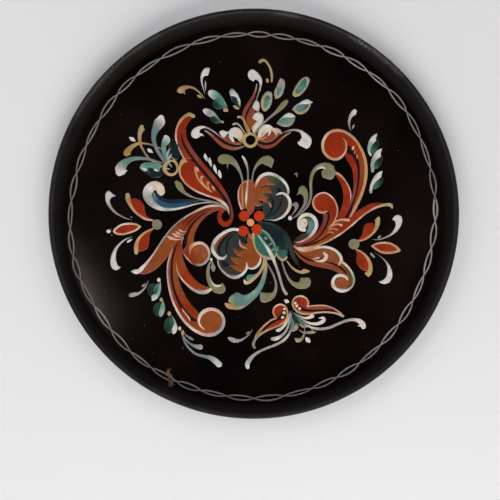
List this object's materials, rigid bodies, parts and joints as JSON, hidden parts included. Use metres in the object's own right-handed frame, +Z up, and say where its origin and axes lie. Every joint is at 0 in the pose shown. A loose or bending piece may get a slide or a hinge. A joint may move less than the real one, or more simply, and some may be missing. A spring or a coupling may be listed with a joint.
{
  "type": "round painted metal tray",
  "caption": "Round sheet-steel tray with a flat field, a low leaning wall and a wired rolled edge, black enamelled and painted with scrolls and flowers.",
  "frame": {"origin": "centre of the flat underside", "axes": "+Z up out of the dish along the tray's axis; +Y towards the top of the painted decoration; +X to its right"},
  "size_m": [0.265, 0.265, 0.0115],
  "materials": {
    "enamel": "glossy brown-black enamel, satin and rubbed on the wall and the rolled edge",
    "wire_steel": "plain drawn steel wire with a thin brown oxide"
  },
  "bodies": {
    "root": {"tray_pan": "enamel", "edge_wire": "wire_steel"}
  },
  "joints": []
}
